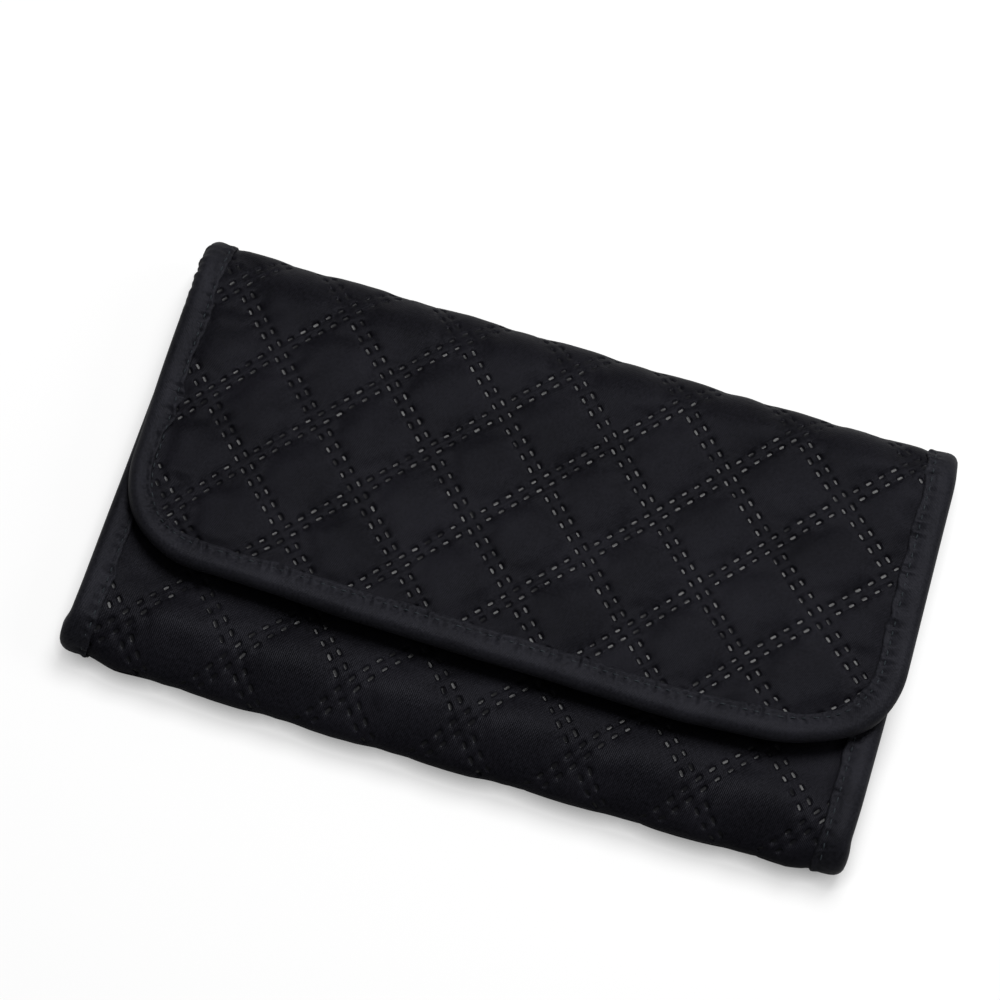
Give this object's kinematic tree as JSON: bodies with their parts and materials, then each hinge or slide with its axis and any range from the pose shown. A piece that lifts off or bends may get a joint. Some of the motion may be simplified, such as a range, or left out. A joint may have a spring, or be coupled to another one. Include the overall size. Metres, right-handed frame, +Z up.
{
  "type": "jewelry roll",
  "caption": "Closed trifold jewelry roll in black quilted cloth with bound edges, a round-cornered flap, inner zip pockets and a ring bar.",
  "frame": {"origin": "centre of the closed roll's footprint, on the surface that it lies on", "axes": "+Z up out of the flap, +X along the folds to the right, -Y toward the near fold, where the front section turns up, +Y toward the far fold, where the flap turns over"},
  "size_m": [0.23, 0.128, 0.023],
  "materials": {
    "quilted_cloth": "near-black matt cotton twill quilted to thin wadding in a diagonal lattice of double dashed lines",
    "binding": "near-black twill bias binding, a little lighter and bluer than the quilting, one row of topstitching",
    "lining": "plain black woven lining",
    "clear_film": "clear flexible film with soft highlights",
    "zip_tape": "black ribbed zip tape",
    "zip_coil": "black nylon coil, low sheen",
    "zip_metal": "bright nickel plating",
    "velvet": "black short pile",
    "hooks": "black nylon hook tape"
  },
  "bodies": {
    "back": {"back_quilted_shell": "quilted_cloth", "back_lining": "lining", "back_binding_left": "binding", "back_binding_right": "binding", "back_pocket_window": "clear_film", "back_pocket_trim": "binding", "back_pocket_zip_film_tape": "zip_tape", "back_pocket_zip_cloth_tape": "zip_tape", "back_pocket_zip_chain": "zip_coil", "ring_bar_anchor_patch": "lining", "ring_bar_loop_pad": "velvet"},
    "bottom_spine": {"bottom_spine_quilted_shell": "quilted_cloth", "bottom_spine_lining": "lining", "bottom_spine_binding_left": "binding", "bottom_spine_binding_right": "binding"},
    "front": {"front_quilted_shell": "quilted_cloth", "front_lining": "lining", "front_binding": "binding", "front_loop_strip": "velvet", "front_left_pocket_window": "clear_film", "front_left_pocket_trim": "binding", "front_left_pocket_zip_film_tape": "zip_tape", "front_left_pocket_zip_cloth_tape": "zip_tape", "front_left_pocket_zip_chain": "zip_coil", "front_right_pocket_window": "clear_film", "front_right_pocket_trim": "binding", "front_right_pocket_zip_film_tape": "zip_tape", "front_right_pocket_zip_cloth_tape": "zip_tape", "front_right_pocket_zip_chain": "zip_coil"},
    "top_spine": {"top_spine_quilted_shell": "quilted_cloth", "top_spine_lining": "lining", "top_spine_binding_left": "binding", "top_spine_binding_right": "binding"},
    "flap": {"flap_quilted_shell": "quilted_cloth", "flap_lining": "lining", "flap_binding": "binding", "flap_hook_strip": "hooks"},
    "ring_bar": {"ring_bar": "velvet", "ring_bar_tongue": "lining", "ring_bar_tab": "lining", "ring_bar_hook_pad": "hooks"},
    "back_slider": {"back_pocket_zip_slider": "zip_metal"},
    "back_pull": {"back_pocket_zip_pull": "zip_metal"},
    "front_left_slider": {"front_left_pocket_zip_slider": "zip_metal"},
    "front_left_pull": {"front_left_pocket_zip_pull": "zip_metal"},
    "front_right_slider": {"front_right_pocket_zip_slider": "zip_metal"},
    "front_right_pull": {"front_right_pocket_zip_pull": "zip_metal"}
  },
  "joints": [
    {"name": "top_spine_fold", "type": "hinge", "parent": "back", "child": "top_spine", "pos_m": [0, 0.064, 0], "axis": [-1, 0, 0], "range_deg": [0, 90]},
    {"name": "flap_fold", "type": "hinge", "parent": "top_spine", "child": "flap", "pos_m": [0, 0.064, 0.023], "axis": [-1, 0, 0], "range_deg": [0, 90]},
    {"name": "bottom_spine_fold", "type": "hinge", "parent": "back", "child": "bottom_spine", "pos_m": [0, -0.064, 0], "axis": [1, 0, 0], "range_deg": [0, 90], "deforming": ["flap_quilted_shell", "flap_lining", "flap_binding", "flap_hook_strip"]},
    {"name": "front_fold", "type": "hinge", "parent": "bottom_spine", "child": "front", "pos_m": [0, -0.064, 0.0173], "axis": [1, 0, 0], "range_deg": [0, 90]},
    {"name": "back_zip_slide", "type": "slide", "parent": "back", "child": "back_slider", "axis": [1, 0, 0], "range_m": [0, 0.1818], "deforming": ["back_pocket_zip_chain"]},
    {"name": "back_pull_swing", "type": "hinge", "parent": "back_slider", "child": "back_pull", "pos_m": [-0.0909, -0.004, 0.0074], "axis": [0, 0, 1], "range_deg": [-25, 25]},
    {"name": "front_left_zip_slide", "type": "slide", "parent": "front", "child": "front_left_slider", "axis": [1, 0, 0], "range_m": [0, 0.0731], "deforming": ["front_left_pocket_zip_chain"]},
    {"name": "front_left_pull_swing", "type": "hinge", "parent": "front_left_slider", "child": "front_left_pull", "pos_m": [-0.0909, -0.038, 0.0099], "axis": [0, 0, 1], "range_deg": [-25, 25]},
    {"name": "front_right_zip_slide", "type": "slide", "parent": "front", "child": "front_right_slider", "axis": [-1, 0, 0], "range_m": [0, 0.0731], "deforming": ["front_right_pocket_zip_chain"]},
    {"name": "front_right_pull_swing", "type": "hinge", "parent": "front_right_slider", "child": "front_right_pull", "pos_m": [0.0909, -0.038, 0.0099], "axis": [0, 0, 1], "range_deg": [-25, 25]},
    {"name": "ring_bar_swing", "type": "hinge", "parent": "back", "child": "ring_bar", "pos_m": [-0.0863, 0.044, 0.0055], "axis": [0, 0, -1], "range_deg": [0, 8]}
  ],
  "couplings": [
    {"joint": "flap_fold", "follows": "top_spine_fold", "ratio": 1},
    {"joint": "front_fold", "follows": "bottom_spine_fold", "ratio": 1}
  ]
}
